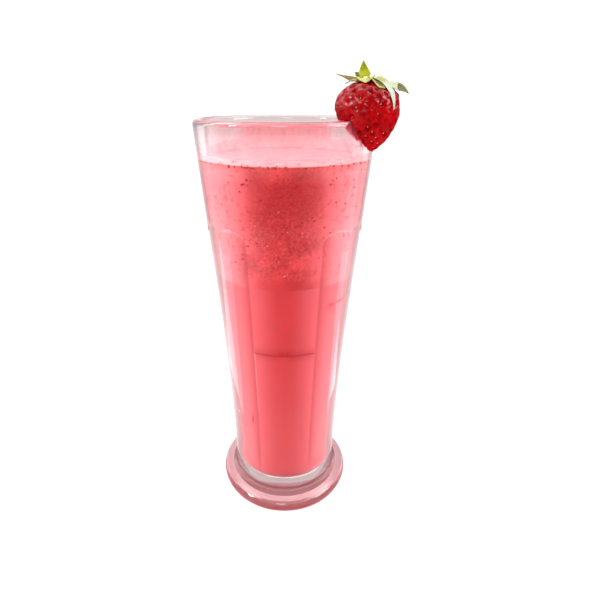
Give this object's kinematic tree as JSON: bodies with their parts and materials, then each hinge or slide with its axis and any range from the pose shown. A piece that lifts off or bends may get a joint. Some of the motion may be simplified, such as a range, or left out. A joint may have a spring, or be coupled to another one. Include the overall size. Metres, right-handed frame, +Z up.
{
  "type": "glass of strawberry juice",
  "caption": "Tall footed glass with arched flat panels, filled with a pink strawberry drink that is frothy on top, with a slit strawberry sitting on its rim.",
  "frame": {"origin": "middle of the flat underside of the foot, on the glass's axis", "axes": "+Z up along the glass; -Y towards the front; the strawberry sits on the rim towards +X and -Y"},
  "size_m": [0.0826, 0.0772, 0.2156],
  "materials": {
    "glass": "clear pressed glass",
    "juice": "smooth thick fruit drink",
    "froth": "fine froth with seed specks",
    "strawberry": "wet ripe fruit skin with pitted seeds",
    "calyx": "soft leaf"
  },
  "bodies": {
    "root": {"glass": "glass", "juice": "juice", "froth": "froth", "strawberry": "strawberry", "calyx": "calyx"}
  },
  "joints": []
}
